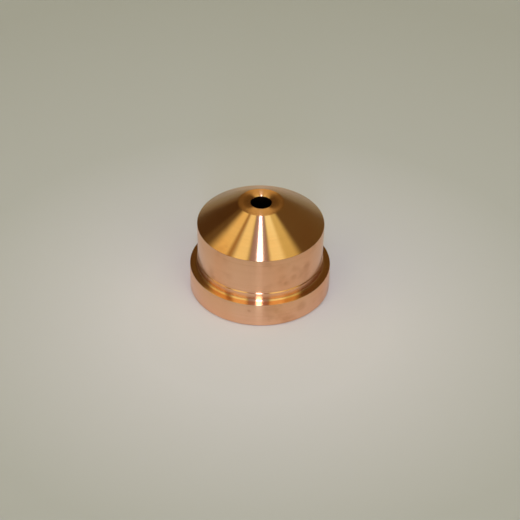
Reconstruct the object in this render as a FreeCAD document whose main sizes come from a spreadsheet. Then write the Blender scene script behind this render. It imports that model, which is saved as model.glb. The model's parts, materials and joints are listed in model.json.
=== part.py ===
"""Plasma torch nozzle, turned from copper bar as one piece.

The nozzle stands on its open end: a flange at the bottom, a straight body above it, and a
conical nose that ends in a flat tip with the orifice in its middle. Z is the turning axis and
the origin is the centre of the open end. Sizes are in millimetres, angles in degrees.
"""
import FreeCAD, Part
import os
import Sketcher

PARTS_FOLDER = "parts"
TOLERANCE = 1e-4

# How a sketch numbers its own axes, its origin and the points of a line or a circle.
AXIS = {"horizontal": -1, "vertical": -2}
ORIGIN = (-1, 1)
POINT = {"start": 1, "centre": 3}

# Driving dimensions: alias, value, what it is.
DIMENSIONS = [
    ("body_diameter", 19.75, "straight body above the flange"),
    ("body_height", 7.65, "ledge up to the edge where the nose starts"),
    ("ledge_width", 1.125, "radial step from the body out to the flange"),
    ("flange_height", 4.1, "open end up to the ledge"),
    ("nose_height", 3.85, "axial height of the conical nose"),
    ("tip_face_width", 1.95, "radial width of the flat face round the orifice"),
    ("orifice_diameter", 3.25, "arc orifice"),
    ("orifice_length", 2.4, "straight length of the orifice, its lip included"),
    ("wall_thickness", 3.375, "body wall round the chamber"),
    ("chamber_cone_angle", 90, "included angle of the cone inside the nose"),
    ("seat_step", 1.5, "radial step from the chamber out to the swirl ring's seat"),
    ("seat_depth", 1.6, "depth of the swirl ring's seat"),
    ("groove_rise", 1.55, "ledge up to the middle of the groove round the body's foot"),
    ("groove_tool_radius", 0.3, "nose radius of the tool that cuts the groove"),
    ("groove_depth", 0.12, "radial depth of the groove"),
    ("corner_radius", 0.35, "fillet where the body meets the ledge"),
    ("ledge_chamfer", 0.08, "broken edge between the ledge and the flange's outside"),
    ("foot_chamfer", 0.18, "chamfer on the flange's outer edge at the open end"),
    ("shoulder_break", 0.07, "broken edge between nose and body, down the body and inwards"),
    ("seat_chamfer", 0.3, "lead-in at the mouth of the seat"),
    ("lip_chamfer", 0.12, "chamfer on the outer edge of the orifice"),
]

# Radii and heights that follow from the driving dimensions, as spreadsheet expressions.
BODY_RADIUS = "sizes.body_diameter / 2"
FLANGE_RADIUS = f"({BODY_RADIUS} + sizes.ledge_width)"
ORIFICE_RADIUS = "sizes.orifice_diameter / 2"
TIP_RADIUS = f"({ORIFICE_RADIUS} + sizes.tip_face_width)"
CHAMBER_RADIUS = f"({BODY_RADIUS} - sizes.wall_thickness)"
SEAT_RADIUS = f"({CHAMBER_RADIUS} + sizes.seat_step)"
LEDGE = "sizes.flange_height"
SHOULDER = f"({LEDGE} + sizes.body_height)"
TIP = f"({SHOULDER} + sizes.nose_height)"
NOSE_SLOPE = f"sizes.nose_height / ({BODY_RADIUS} - {TIP_RADIUS})"
NOSE_START = f"({SHOULDER} + sizes.shoulder_break * {NOSE_SLOPE})"
ORIFICE_START = f"({TIP} - sizes.orifice_length)"
CONE_LENGTH = f"({CHAMBER_RADIUS} - {ORIFICE_RADIUS}) / tan(sizes.chamber_cone_angle / 2)"
CONE_START = f"({ORIFICE_START} - {CONE_LENGTH})"
GROOVE_RADIUS = f"({BODY_RADIUS} - sizes.groove_depth + sizes.groove_tool_radius)"
GROOVE_HEIGHT = f"({LEDGE} + sizes.groove_rise)"


def make_sheet(doc):
    """Put the driving dimensions in a spreadsheet, one row each."""
    sheet = doc.addObject("Spreadsheet::Sheet", "sizes")
    for row, (alias, value, meaning) in enumerate(DIMENSIONS, start=1):
        sheet.set(f"A{row}", alias)
        sheet.set(f"B{row}", str(value))
        sheet.set(f"C{row}", meaning)
        sheet.setAlias(f"B{row}", alias)
    doc.recompute()
    return sheet


def value_of(sheet, expression):
    """The number that an expression on the sheet comes to."""
    return float(sheet.evalExpression(expression))


def empty_sketch(body, name):
    """Start a sketch on the body's XZ plane, where x is the radius and y the height."""
    plane = next(item for item in body.Origin.OriginFeatures if item.Role == "XZ_Plane")
    sketch = body.newObject("Sketcher::SketchObject", name)
    sketch.AttachmentSupport = [(plane, "")]
    sketch.MapMode = "FlatFace"
    return sketch


def section_sketch(body, sheet, name, corners):
    """Draw a closed half-section with straight sides.

    A corner is a pair of expressions, radius and height; "0" puts it on that axis.
    """
    sketch = empty_sketch(body, name)
    points = [FreeCAD.Vector(value_of(sheet, radius), value_of(sheet, height), 0)
              for radius, height in corners]
    for start, end in zip(points, points[1:] + points[:1]):
        sketch.addGeometry(Part.LineSegment(start, end), False)
    for line in range(len(corners)):
        following = (line + 1) % len(corners)
        sketch.addConstraint(Sketcher.Constraint("Coincident", line, 2, following, 1))
    for line, (radius, height) in enumerate(corners):
        place_point(sketch, line, POINT["start"], radius, height, points[line])
    return sketch


def circle_sketch(body, sheet, name, radius, height, size):
    """Draw a circle of this size, its centre at a radius and a height."""
    sketch = empty_sketch(body, name)
    centre = FreeCAD.Vector(value_of(sheet, radius), value_of(sheet, height), 0)
    start_size = value_of(sheet, size)
    sketch.addGeometry(Part.Circle(centre, FreeCAD.Vector(0, 0, 1), start_size), False)
    place_point(sketch, 0, POINT["centre"], radius, height, centre)
    drive(sketch, Sketcher.Constraint("Radius", 0, start_size), size)
    return sketch


def place_point(sketch, item, point, radius, height, start):
    """Tie a point to the origin, by driven distances or on an axis itself."""
    for direction, axis, expression, value in (
        ("DistanceX", AXIS["vertical"], radius, start.x),
        ("DistanceY", AXIS["horizontal"], height, start.y),
    ):
        if expression == "0":
            sketch.addConstraint(Sketcher.Constraint("PointOnObject", item, point, axis))
        else:
            distance = Sketcher.Constraint(direction, *ORIGIN, item, point, value)
            drive(sketch, distance, expression)


def drive(sketch, constraint, expression):
    """Add a constraint whose value follows an expression."""
    number = sketch.addConstraint(constraint)
    sketch.setExpression(f"Constraints[{number}]", expression)


def turn(body, kind, name, sketch):
    """Spin a half-section right round the Z axis, as a Revolution or a Groove."""
    feature = body.newObject(f"PartDesign::{kind}", name)
    feature.Profile = sketch
    feature.ReferenceAxis = (sketch, ["V_Axis"])
    feature.Angle = 360
    body.Document.recompute()
    return feature


def ring_edge(shape, radius, height):
    """Name of the circular edge of this radius at this height."""
    for number, edge in enumerate(shape.Edges, start=1):
        curve = edge.Curve
        if curve.TypeId != "Part::GeomCircle":
            continue
        if abs(curve.Radius - radius) < TOLERANCE and abs(curve.Center.z - height) < TOLERANCE:
            return f"Edge{number}"
    raise RuntimeError(f"no edge of radius {radius} at height {height}")


def dress_ring(body, sheet, kind, size, ring):
    """Chamfer or fillet one ring, given by its radius and height expressions."""
    base = body.Tip
    edge = ring_edge(base.Shape, *(value_of(sheet, expression) for expression in ring))
    feature = body.newObject(f"PartDesign::{kind}", f"{size}_edge")
    feature.Base = (base, [edge])
    feature.setExpression("Size" if kind == "Chamfer" else "Radius", f"sizes.{size}")
    body.Document.recompute()
    return feature


def make_nozzle(doc, sheet):
    """Turn the outside, bore the inside, cut the groove, then break the edges."""
    body = doc.addObject("PartDesign::Body", "nozzle")
    body.Label = "nozzle"

    outside = section_sketch(body, sheet, "outside_profile", [
        ("0", "0"),
        (FLANGE_RADIUS, "0"),
        (FLANGE_RADIUS, LEDGE),
        (BODY_RADIUS, LEDGE),
        (BODY_RADIUS, f"{SHOULDER} - sizes.shoulder_break"),
        (f"{BODY_RADIUS} - sizes.shoulder_break", NOSE_START),
        (TIP_RADIUS, TIP),
        ("0", TIP),
    ])
    turn(body, "Revolution", "outside", outside)

    chamber = section_sketch(body, sheet, "chamber_profile", [
        ("0", "0"),
        (SEAT_RADIUS, "0"),
        (SEAT_RADIUS, "sizes.seat_depth"),
        (CHAMBER_RADIUS, "sizes.seat_depth"),
        (CHAMBER_RADIUS, CONE_START),
        (ORIFICE_RADIUS, ORIFICE_START),
        (ORIFICE_RADIUS, TIP),
        ("0", TIP),
    ])
    turn(body, "Groove", "chamber", chamber)

    groove = circle_sketch(body, sheet, "foot_groove_profile",
                           GROOVE_RADIUS, GROOVE_HEIGHT, "sizes.groove_tool_radius")
    turn(body, "Groove", "foot_groove", groove)

    for kind, size, radius, height in (
        ("Fillet", "corner_radius", BODY_RADIUS, LEDGE),
        ("Chamfer", "ledge_chamfer", FLANGE_RADIUS, LEDGE),
        ("Chamfer", "foot_chamfer", FLANGE_RADIUS, "0"),
        ("Chamfer", "seat_chamfer", SEAT_RADIUS, "0"),
        ("Chamfer", "lip_chamfer", ORIFICE_RADIUS, TIP),
    ):
        dress_ring(body, sheet, kind, size, (radius, height))
    return body


def check_document(doc):
    """Stop if any object of the document failed to build."""
    for item in doc.Objects:
        if "Invalid" in item.State or "Error" in item.State:
            raise RuntimeError(f"{item.Name} failed: {item.State}")


def export(body):
    """Write the finished solid to the file that its label names."""
    shape = body.Shape
    if shape.isNull() or not shape.isValid():
        raise RuntimeError(f"{body.Label} has no valid shape")
    shape.exportStep(os.path.join(PARTS_FOLDER, f"{body.Label}.step"))
    box = shape.optimalBoundingBox()
    print(f"{body.Label}: {len(shape.Solids)} solid, {len(shape.Faces)} faces,"
          f" {shape.Volume:.1f} mm3, {box.XLength:.2f} x {box.YLength:.2f} x {box.ZLength:.2f}")


def main():
    os.makedirs(PARTS_FOLDER, exist_ok=True)
    doc = FreeCAD.newDocument("plasma_nozzle")
    sheet = make_sheet(doc)
    nozzle = make_nozzle(doc, sheet)
    doc.recompute()
    check_document(doc)
    export(nozzle)


main()
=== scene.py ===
# %% [markdown]
# # A copper nozzle for a plasma torch
#
# The nozzle is turned from copper bar as one piece: a flange at the bottom, a straight body,
# and a conical nose with a flat tip round the orifice. It is bright from the lathe, so almost
# all of its look is reflection: a narrow white streak and warm bands on the nose, and the
# pale table in its upright walls. The lesson models the nozzle, gives it a turned finish, and
# builds the small studio that it reflects.
#
# The frame comes first, with the CAD model of the nozzle, whose box gives some of the sizes
# below. The dressed nozzle may not outgrow it.

# %% Load the frame
import json
import math

import bmesh
import bpy
from mathutils import Matrix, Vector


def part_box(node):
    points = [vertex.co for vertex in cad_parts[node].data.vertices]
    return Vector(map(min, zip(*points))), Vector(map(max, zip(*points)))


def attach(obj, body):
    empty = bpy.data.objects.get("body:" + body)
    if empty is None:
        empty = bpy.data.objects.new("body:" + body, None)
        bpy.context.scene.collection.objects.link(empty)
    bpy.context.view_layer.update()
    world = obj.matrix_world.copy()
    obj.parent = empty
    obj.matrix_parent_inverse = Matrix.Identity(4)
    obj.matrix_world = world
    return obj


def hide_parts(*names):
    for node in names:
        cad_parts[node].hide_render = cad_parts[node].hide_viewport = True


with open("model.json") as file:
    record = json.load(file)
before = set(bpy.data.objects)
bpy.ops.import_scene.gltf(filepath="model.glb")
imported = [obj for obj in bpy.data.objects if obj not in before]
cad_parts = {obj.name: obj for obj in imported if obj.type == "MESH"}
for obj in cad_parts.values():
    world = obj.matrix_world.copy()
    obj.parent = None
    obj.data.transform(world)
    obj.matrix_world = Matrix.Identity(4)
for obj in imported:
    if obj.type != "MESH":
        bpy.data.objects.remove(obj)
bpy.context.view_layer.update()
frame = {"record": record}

# %% [markdown]
# ## Sizes
#
# A dressed model has to fit the CAD model exactly, so its sizes are read from the frame: the
# outside from the node's box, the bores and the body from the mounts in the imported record.
# The few that no mount gives, such as edge breaks, are named here. All lengths are in metres.

# %% Read the sizes
MM = 0.001
mounts = {mount["name"]: mount for mount in frame["record"]["mounts"]}


def mount_radius(name):
    return mounts[name]["dims"]["r_mm"] * MM


def mount_span(name):
    """The lowest and highest point of a bore or a pin along the turning axis."""
    middle = mounts[name]["pos_m"][2]
    half = mounts[name]["dims"]["length_mm"] * MM / 2
    return middle - half, middle + half


low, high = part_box("nozzle")
tip_height = high[2]
flange_radius = high[0]
ledge_height = mounts["cap_ledge"]["pos_m"][2]
body_radius = mount_radius("body_outside")
orifice_radius = mount_radius("orifice")
chamber_radius = mount_radius("chamber_bore")
seat_radius = mount_radius("swirl_ring_seat")
orifice_start = mount_span("orifice")[0]
seat_depth, cone_start = mount_span("chamber_bore")
shoulder_break = 0.07 * MM
shoulder_height = mount_span("body_outside")[1] + shoulder_break
tip_radius = orifice_radius + 1.95 * MM
lip_chamfer = tip_height - mount_span("orifice")[1]
seat_chamfer = mount_span("swirl_ring_seat")[0]
corner_radius = 0.35 * MM
ledge_chamfer = 0.08 * MM
foot_chamfer = 0.18 * MM
print(f"flange {2000 * flange_radius:.2f} mm, body {2000 * body_radius:.2f} mm,"
      f" shoulder at {1000 * shoulder_height:.2f} mm, tip at {1000 * tip_height:.2f} mm")

# %% [markdown]
# ## Operators on a clean selection
#
# Edit-mode operators act on whatever is selected, and loading a frame leaves its objects
# selected. So each piece starts from an empty selection, and the rings to work on are picked
# by their radius and height.

# %% Selection helpers
TOUCH = 0.004 * MM


def start_clean():
    if bpy.context.object and bpy.context.object.mode != "OBJECT":
        bpy.ops.object.mode_set(mode="OBJECT")
    bpy.ops.object.select_all(action="DESELECT")


def pick_ring(radius, height):
    """Select the edges that run round the axis at this radius and height."""
    mesh = bpy.context.edit_object.data
    bpy.ops.mesh.select_all(action="DESELECT")
    bpy.ops.mesh.select_mode(type="EDGE")
    edit = bmesh.from_edit_mesh(mesh)
    picked = 0
    for edge in edit.edges:
        if all(abs(math.hypot(v.co.x, v.co.y) - radius) < TOUCH
               and abs(v.co.z - height) < TOUCH for v in edge.verts):
            edge.select_set(True)
            picked += 1
    edit.select_flush_mode()
    bmesh.update_edit_mesh(mesh)
    return picked


# %% [markdown]
# ## The nozzle
#
# On the lathe a tool follows the outline while the bar turns. In Blender the same shape could
# be a profile that is spun, or a circle that is extruded ring by ring and resized on the way.
# The ring way is used, because each ring is one cut that can be named and checked: out along
# the open end, up the flange, in to the body, up to the shoulder, up the cone, and back down
# through the orifice and the chamber. A bridge then closes the last ring to the first.

# %% Turn the outline, ring by ring
AROUND = 256


def first_ring(name, radius, height):
    """Start a piece as a bare circle and leave it in edit mode."""
    start_clean()
    bpy.ops.mesh.primitive_circle_add(vertices=AROUND, radius=radius)
    piece = bpy.context.object
    piece.name = name
    bpy.ops.object.mode_set(mode="EDIT")
    bpy.ops.mesh.select_all(action="SELECT")
    bpy.ops.transform.translate(value=(0, 0, height))
    return piece


def next_ring(before, after):
    """Extrude the selected ring from one radius and height to the next."""
    bpy.ops.mesh.extrude_region_move(
        TRANSFORM_OT_translate={"value": (0, 0, after[1] - before[1])})
    scale = after[0] / before[0]
    bpy.ops.transform.resize(value=(scale, scale, 1), center_override=(0, 0, after[1]))


open_end = (seat_radius, low[2])
rings = {
    "open end": (flange_radius, low[2]),
    "flange": (flange_radius, ledge_height),
    "ledge": (body_radius, ledge_height),
    "shoulder": (body_radius, shoulder_height),
    "tip": (tip_radius, tip_height),
    "lip": (orifice_radius, tip_height),
    "orifice": (orifice_radius, orifice_start),
    "inner cone": (chamber_radius, cone_start),
    "chamber": (chamber_radius, seat_depth),
    "seat": (seat_radius, seat_depth),
}
nozzle = first_ring("turned_nozzle", *open_end)
before = open_end
for ring in rings.values():
    next_ring(before, ring)
    before = ring
bpy.ops.mesh.select_all(action="DESELECT")
bpy.ops.mesh.select_mode(type="EDGE")
bpy.ops.mesh.select_non_manifold(extend=False, use_wire=False, use_boundary=True,
                                 use_multi_face=False, use_non_contiguous=False, use_verts=False)
bpy.ops.mesh.bridge_edge_loops()
print("rings turned:", len(rings) + 1)

# %% [markdown]
# ## The groove round the body's foot
#
# A shallow round groove runs round the body just above the ledge. A bevel can't cut inwards,
# so the wall is cut across at the groove's two lips with Bisect, and the strip between them is
# cut again and its rings are drawn in along an arc, as deep as the tool's round nose went.

# %% Cut the groove
groove_middle = ledge_height + 1.55 * MM
groove_depth = 0.12 * MM
groove_tool = 0.3 * MM
groove_half = math.sqrt(groove_tool ** 2 - (groove_tool - groove_depth) ** 2)
GROOVE_STEPS = 10


def cut_across(height):
    """Cut all faces at a height and leave the new edges in the mesh."""
    bpy.ops.mesh.select_all(action="SELECT")
    bpy.ops.mesh.bisect(plane_co=(0, 0, height), plane_no=(0, 0, 1))


def arc_depth(away):
    """How deep the groove is, this far above or below its middle."""
    return math.sqrt(groove_tool ** 2 - away ** 2) - (groove_tool - groove_depth)


for step in range(GROOVE_STEPS + 1):
    swing = math.asin(groove_half / groove_tool) * (2 * step / GROOVE_STEPS - 1)
    away = groove_tool * math.sin(swing)
    cut_across(groove_middle + away)
    pick_ring(body_radius, groove_middle + away)
    scale = 1 - arc_depth(away) / body_radius
    bpy.ops.transform.resize(value=(scale, scale, 1), center_override=(0, 0, groove_middle))
print(f"groove {2000 * groove_half:.2f} mm wide, {1000 * groove_depth:.2f} mm deep")

# %% [markdown]
# ## Broken edges
#
# No turned edge is perfectly sharp. Every corner on the outside, and the mouths of the orifice
# and the seat, get a bevel of its real size: a fillet where the body meets the ledge, and small
# breaks elsewhere. They catch the thin bright lines that make metal look solid.

# %% Bevel the corners
edge_breaks = [
    ("ledge", corner_radius, 6),
    ("flange", ledge_chamfer, 2),
    ("open end", foot_chamfer, 1),
    ("shoulder", shoulder_break, 3),
    ("tip", 0.04 * MM, 3),
    ("lip", lip_chamfer, 2),
]
for name, size, segments in edge_breaks:
    picked = pick_ring(*rings[name])
    bpy.ops.mesh.bevel(offset=size, segments=segments, affect="EDGES", offset_type="OFFSET")
    print(f"{name}: {picked} edges, {1000 * size:.2f} mm")
pick_ring(*open_end)
bpy.ops.mesh.bevel(offset=seat_chamfer, segments=1, affect="EDGES", offset_type="OFFSET")

# %% Merge, point the faces outwards and shade
bpy.ops.mesh.select_all(action="SELECT")
bpy.ops.mesh.remove_doubles(threshold=0.001 * MM)
bpy.ops.mesh.normals_make_consistent(inside=False)
bpy.ops.object.mode_set(mode="OBJECT")
bpy.ops.object.shade_smooth_by_angle(angle=math.radians(24))
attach(nozzle, "root")
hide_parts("nozzle")
print("faces:", len(nozzle.data.polygons))

# %% [markdown]
# ## Shader maths
#
# Node trees are quicker to read as sums than as boxes. A small class wraps a socket, so that
# an expression such as 1 - mask adds its Math nodes by itself. Every other node comes from
# one method that sets a node's options and its inputs.

# %% A socket that can be reckoned with


class Signal:
    """One output socket of a material's tree."""

    def __init__(self, shader, socket):
        self.shader = shader
        self.socket = socket

    def math(self, operation, *values):
        return self.shader.node("ShaderNodeMath", {"operation": operation}, dict(enumerate(values)))

    def __add__(self, other):
        return self.math("ADD", self, other)

    def __sub__(self, other):
        return self.math("SUBTRACT", self, other)

    def __rsub__(self, other):
        return self.math("SUBTRACT", other, self)

    def __mul__(self, other):
        return self.math("MULTIPLY", self, other)

    def __truediv__(self, other):
        return self.math("DIVIDE", self, other)

    __radd__ = __add__
    __rmul__ = __mul__

    def root(self):
        return self.math("SQRT", self)


class Shader:
    """A new material and its tree, or a tree that is already there."""

    def __init__(self, name=None, tree=None):
        if tree is None:
            self.material = bpy.data.materials.new(name)
            self.material.use_nodes = True
            tree = self.material.node_tree
        self.tree = tree
        self.surface = tree.nodes.get("Principled BSDF")

    def node(self, kind, settings=None, inputs=None, output=0):
        """Add a node, set its options, then its inputs, and give one output as a Signal."""
        made = self.tree.nodes.new(kind)
        for name, value in (settings or {}).items():
            setattr(made, name, value)
        self.fill(made, inputs or {})
        return Signal(self, made.outputs[output])

    def ramp(self, value, stops, span):
        """Colours along a value that runs from 0 to the span."""
        made = self.tree.nodes.new("ShaderNodeValToRGB")
        elements = made.color_ramp.elements
        while len(elements) < len(stops):
            elements.new(1)
        for element, (position, colour) in zip(elements, stops):
            element.position = position / span
            element.color = (*colour, 1)
        self.fill(made, {"Fac": value / span})
        return Signal(self, made.outputs["Color"])

    def fill(self, made, inputs):
        for name, value in inputs.items():
            if isinstance(value, Signal):
                self.tree.links.new(value.socket, made.inputs[name])
            else:
                made.inputs[name].default_value = value


# %% [markdown]
# ## Turned copper
#
# Fine tool marks run round the axis. They spread each highlight along the outline and keep it
# narrow across, which is what draws the long streaks down the nose. A bump alone would need
# marks finer than the picture can hold, so the metal is made anisotropic: with no tangent
# linked, the shader takes the direction round the axis by itself.
#
# Over that go the things that keep it from looking like a rendering: fine rings where the
# feed left deeper marks, patches where handling has dulled and reddened the copper, and a few
# rubbed spots. All of them are patterns on Object coordinates, so they stay on the metal.

# %% Patterns on the turned metal
COPPER = (0.91, 0.53, 0.33)


def noise(shader, vector, scale, detail=2.0, roughness=0.5):
    return shader.node("ShaderNodeTexNoise", inputs={
        "Vector": vector, "Scale": scale, "Detail": detail, "Roughness": roughness})


def stretched(shader, vector, scale):
    """The coordinates, scaled differently along X, Y and Z."""
    return shader.node("ShaderNodeVectorMath", {"operation": "MULTIPLY"},
                       {0: vector, 1: scale})


def scaled(value, low, high, to_low, to_high):
    """A value's range mapped to another range, kept inside it."""
    return value.shader.node("ShaderNodeMapRange", inputs={
        "Value": value, "From Min": low, "From Max": high, "To Min": to_low, "To Max": to_high})


def mix(shader, base, colour, mask):
    """Base where the mask is 0, the colour where it is 1."""
    return shader.node("ShaderNodeMix", {"data_type": "RGBA"},
                       {"Factor": mask, 6: base, 7: colour}, output=2)


def rubbed_spot(shader, place, centre, size):
    """1 in the middle of a spot and 0 outside it."""
    away = shader.node("ShaderNodeVectorMath", {"operation": "DISTANCE"},
                       {0: place, 1: centre}, output="Value")
    return scaled(away, 0.4 * size, size, 1.0, 0.0)


def on_wall(radius, degrees, height):
    """A point on an upright wall; 0 degrees faces the front, right is positive."""
    turn = math.radians(degrees)
    return (radius * math.sin(turn), -radius * math.cos(turn), height)


# %% Turned copper
copper = Shader("turned_copper")
place = copper.node("ShaderNodeTexCoord", output="Object")
x = copper.node("ShaderNodeSeparateXYZ", inputs={"Vector": place}, output="X")
y = Signal(copper, x.socket.node.outputs["Y"])
z = Signal(copper, x.socket.node.outputs["Z"])
radius = (x * x + y * y).root()
outline = radius - z
rings_at = copper.node("ShaderNodeCombineXYZ", inputs={
    "X": x * 30, "Y": y * 30, "Z": outline * 9000})
feed = noise(copper, rings_at, 1.0, 3.0, 0.6)
handling = noise(copper, place, 260, 3.0, 0.6)
haze = noise(copper, stretched(copper, place, (1.0, 1.0, 0.45)), 120, 2.0, 0.55)

tint = mix(copper, (*COPPER, 1), (0.89, 0.46, 0.26, 1), scaled(haze, 0.48, 0.66, 0.0, 0.75))
tint = mix(copper, tint, (0.91, 0.57, 0.40, 1), scaled(haze, 0.46, 0.32, 0.0, 0.6))
dull = scaled(handling, 0.56, 0.74, 0.0, 0.35)
spots = [
    (on_wall(body_radius, 32, 7.6 * MM), 0.8 * MM),
    (on_wall(body_radius, 47, 8.6 * MM), 1.0 * MM),
    (on_wall(body_radius, 24, 6.9 * MM), 0.6 * MM),
    (on_wall(flange_radius, -8, 2.9 * MM), 0.35 * MM),
    (on_wall(flange_radius, 36, 2.4 * MM), 1.2 * MM),
]
for centre, size in spots:
    dull = dull.math("MAXIMUM", dull, rubbed_spot(copper, place, centre, size) * handling * 0.55)
tint = mix(copper, tint, (0.55, 0.24, 0.12, 1), dull)
tint = mix(copper, tint, (0.62, 0.30, 0.15, 1), scaled(feed, 0.5, 0.8, 0.0, 0.3))
grain = copper.node("ShaderNodeBump", inputs={
    "Strength": 0.25, "Distance": 0.004 * MM, "Height": feed + handling * 0.6})
copper.fill(copper.surface, {
    "Base Color": tint, "Metallic": 1,
    "Roughness": scaled(feed, 0.3, 0.7, 0.14, 0.19) + dull * 0.15,
    "Anisotropic": 1.0, "Anisotropic Rotation": 0.25, "Normal": grain,
})
nozzle.data.materials.append(copper.material)

# %% [markdown]
# ## The bores
#
# A drill and a boring bar leave the inside plainer than the outside, and nobody polishes it.
# It is also darker, and that darkness is painted shade: its colour goes to near black up the
# inner cone and through the orifice, where the closed chamber lets in almost no light. It gets
# a material of its own. The faces are picked by place: all that lie inside the outline from
# the lip down to the seat.

# %% Bored copper, with painted shade
bored = Shader("bored_copper")
place = bored.node("ShaderNodeTexCoord", output="Object")
height = bored.node("ShaderNodeSeparateXYZ", inputs={"Vector": place}, output="Z")
scores = noise(bored, stretched(bored, place, (40.0, 40.0, 9000.0)), 1.0, 2.0)
# Painted shade: 0 at the top of the chamber and 1 where the orifice starts, so the colour below
# goes to near black up the inner cone and through the orifice.
depth = scaled(height, cone_start, orifice_start, 0.0, 1.0)
inside = mix(bored, (0.50, 0.25, 0.14, 1), (0.035, 0.016, 0.010, 1), depth)
# The scores are real tool marks, but their near-black colour is part of the painted shade.
inside = mix(bored, inside, (0.02, 0.01, 0.006, 1), scaled(scores, 0.45, 0.75, 0.0, 0.5))
bored.fill(bored.surface, {
    "Base Color": inside, "Metallic": 1, "Roughness": scaled(scores, 0.3, 0.7, 0.30, 0.42)})
nozzle.data.materials.append(bored.material)
inner_faces = 0
for face in nozzle.data.polygons:
    away = math.hypot(face.center.x, face.center.y)
    wall = orifice_radius + (cone_start - face.center.z + chamber_radius - orifice_radius)
    if away < seat_radius and face.center.z < tip_height - lip_chamfer and (
            away < orifice_radius + TOUCH or away < wall + TOUCH) and face.normal.z < 0.9:
        outward = face.center.x * face.normal.x + face.center.y * face.normal.y
        if outward <= TOUCH * away and away < chamber_radius + 2 * MM:
            face.material_index = 1
            inner_faces += 1
print("bored faces:", inner_faces)

# %% [markdown]
# ## The table
#
# The nozzle stands on a pale table. It fills the reflections in the upright walls, so
# its tone sets theirs. Its colour holds painted light: a pool that is brightest round a point
# 8 mm in front of the nozzle and grows darker outwards, tinted blue against the warm studio light.

# %% Table, with a painted pool of light
start_clean()
bpy.ops.mesh.primitive_plane_add(size=3, location=(0, 0, -0.02 * MM))
bpy.ops.object.transform_apply(location=True)
table = bpy.context.object
table.name = "table_top"
pale = Shader("pale_table")
spot = pale.node("ShaderNodeTexCoord", output="Object")
place = pale.node("ShaderNodeSeparateXYZ", inputs={"Vector": spot}, output="X")
across = place
along = Signal(pale, place.socket.node.outputs["Y"])
away = (across * across + (along + 8 * MM) * (along + 8 * MM)).root()
# Painted light: brightest round a point 8 mm in front of the nozzle, darker outwards, and tinted
# blue against the warm studio light.
painted_light_falloff = pale.ramp(away, [
    (0, (0.79, 0.77, 0.97)), (20 * MM, (0.78, 0.76, 0.95)), (50 * MM, (0.59, 0.59, 0.68)),
    (100 * MM, (0.50, 0.50, 0.55))], 100 * MM)
pale.fill(pale.surface, {"Base Color": painted_light_falloff, "Roughness": 0.9, "Specular IOR Level": 0.2})
table.data.materials.append(pale.material)

# %% [markdown]
# ## A dark cloth
#
# Far from the nozzle the real table is in the dark, and the back of the nose mirrors that at
# a low angle. The view has to stay pale, so a dark ring lies round the nozzle that only
# reflections can see. Photographers do the same with black cards just outside the picture.

# %% Dark ring for the reflections
start_clean()
bpy.ops.mesh.primitive_circle_add(vertices=64, radius=34 * MM)
cloth = bpy.context.object
cloth.name = "dark_cloth"
bpy.ops.object.mode_set(mode="EDIT")
bpy.ops.mesh.select_all(action="SELECT")
bpy.ops.transform.translate(value=(0, 0, 0.2 * MM))
bpy.ops.mesh.extrude_region_move(TRANSFORM_OT_translate={"value": (0, 0, 0)})
bpy.ops.transform.resize(value=(30, 30, 1), center_override=(0, 0, 0))
bpy.ops.object.mode_set(mode="OBJECT")
cloth.visible_camera = cloth.visible_diffuse = cloth.visible_shadow = False
shade = Shader("dark_cloth")
spot = shade.node("ShaderNodeTexCoord", output="Object")
across = shade.node("ShaderNodeSeparateXYZ", inputs={"Vector": spot}, output="X")
along = Signal(shade, across.socket.node.outputs["Y"])
away = (across * across + along * along).root()
shade.fill(shade.surface, {
    "Base Color": (0.0, 0.0, 0.0, 1), "Roughness": 1.0, "Specular IOR Level": 0.0,
    "Emission Color": (0.26, 0.25, 0.15, 1), "Emission Strength": 1.0,
    "Alpha": scaled(away, 34 * MM, 80 * MM, 0.0, 0.9)})
cloth.data.materials.append(shade.material)

# %% [markdown]
# ## Light
#
# Polished metal shows its surroundings, so the lights are placed for what they draw. Each
# straight line on the nose looks out along one fan of directions, and all the fans meet in one
# point, the one that a flat mirror would show. Lamps laid along those fans draw straight,
# clean streaks. So the studio is a ceiling of lamps that fan out from that point: a narrow
# white one in the middle, golden panels on both sides of it, and dark gaps between them.

# %% Studio
look_down = math.radians(37.71)


def fade(signal, start, end):
    """A smooth step from 0 at start to 1 at end."""
    return signal.shader.node(
        "ShaderNodeMapRange", {"interpolation_type": "SMOOTHSTEP"},
        {"Value": signal, "From Min": start, "From Max": end})


def between(signal, start, end, soft_start, soft_end):
    """1 between start and end, with soft sides."""
    return (fade(signal, start - soft_start / 2, start + soft_start / 2)
            - fade(signal, end - soft_end / 2, end + soft_end / 2))


world = bpy.data.worlds.new("studio")
world.use_nodes = True
studio = Shader(tree=world.node_tree)
ray = studio.node("ShaderNodeTexCoord", output="Generated")
ray_x = studio.node("ShaderNodeSeparateXYZ", inputs={"Vector": ray}, output="X")
ray_y = Signal(studio, ray_x.socket.node.outputs["Y"])
ray_z = Signal(studio, ray_x.socket.node.outputs["Z"])
toward = math.cos(look_down) - ray_y
fan = ray_x.math("ARCTAN2", ray_x, toward) * (180 / math.pi)
reach = (ray_x * ray_x + toward * toward).root()

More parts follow.
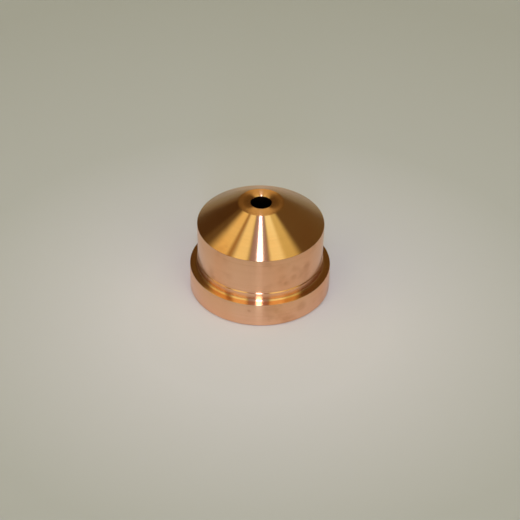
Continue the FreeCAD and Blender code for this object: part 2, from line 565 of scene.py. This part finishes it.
# angles of each lamp's two sides, how soft each side is, and its brightness and colour
lamps = [
    ("right dusk", -180, 180, 0, 0, (0.13, 0.09, 0.030)),
    ("left dusk", -100, -64, 10, 8, (0.07, 0.04, 0.012)),
    ("far left panel", -49.5, -30.5, 16, 7, (0.86, 0.74, 0.27)),
    ("left gap", -31, -27, 6, 4, (0.37, 0.22, 0.06)),
    ("left panel", -26, -11, 7, 6, (0.97, 0.93, 0.42)),
    ("right panel's edge", 20, 38, 6, 10, (0.68, 0.64, 0.23)),
    ("right panel", 9, 23, 5, 6, (1.02, 1.06, 0.53)),
    ("middle gap", -9.5, 7.5, 3, 3, (0.36, 0.29, 0.28)),
    ("streak", -2.6, 2.0, 1.2, 1.2, (5.6, 6.2, 7.2)),
]
light = (0.13, 0.09, 0.03, 1)
for name, start, end, soft_start, soft_end, colour in lamps[1:]:
    mask = between(fan, start, end, soft_start, soft_end)
    light = mix(studio, light, (*colour, 1), mask)
side = fan.math("ABSOLUTE", fan)
bow = 1 - between(side, 38, 142, 20, 20)
hub = mix(studio, (0.10, 0.06, 0.015, 1), (0.60, 0.44, 0.15, 1), bow)
light = mix(studio, hub, light, fade(reach, 0.2, 0.4))
light = mix(studio, (0.13, 0.10, 0.05, 1), light, fade(ray_z, 0.0, 0.15))
seen = studio.node("ShaderNodeLightPath", output="Is Camera Ray")
light = mix(studio, light, (0.50, 0.48, 0.43, 1), seen)
studio.fill(world.node_tree.nodes["Background"], {"Color": light})
bpy.context.scene.world = world

# %% [markdown]
# ## Camera
#
# A long lens from above and in front: its tilt is turned about the camera's own axes, and it
# then backs away from the nozzle.

# %% Camera
start_clean()
bpy.ops.object.camera_add()
camera = bpy.context.object
lean = math.radians(1.04)
camera.matrix_world = (
    Matrix.Rotation(math.pi / 2 - look_down, 4, "X")
    @ Matrix.Rotation(lean, 4, "Z")
    @ Matrix.Translation((0.049 * MM, 3.463 * MM, 303.33 * MM)))
camera.data.lens = 132.4
camera.data.clip_start = 0.001
bpy.context.scene.camera = camera
bpy.context.scene.view_settings.view_transform = "Standard"
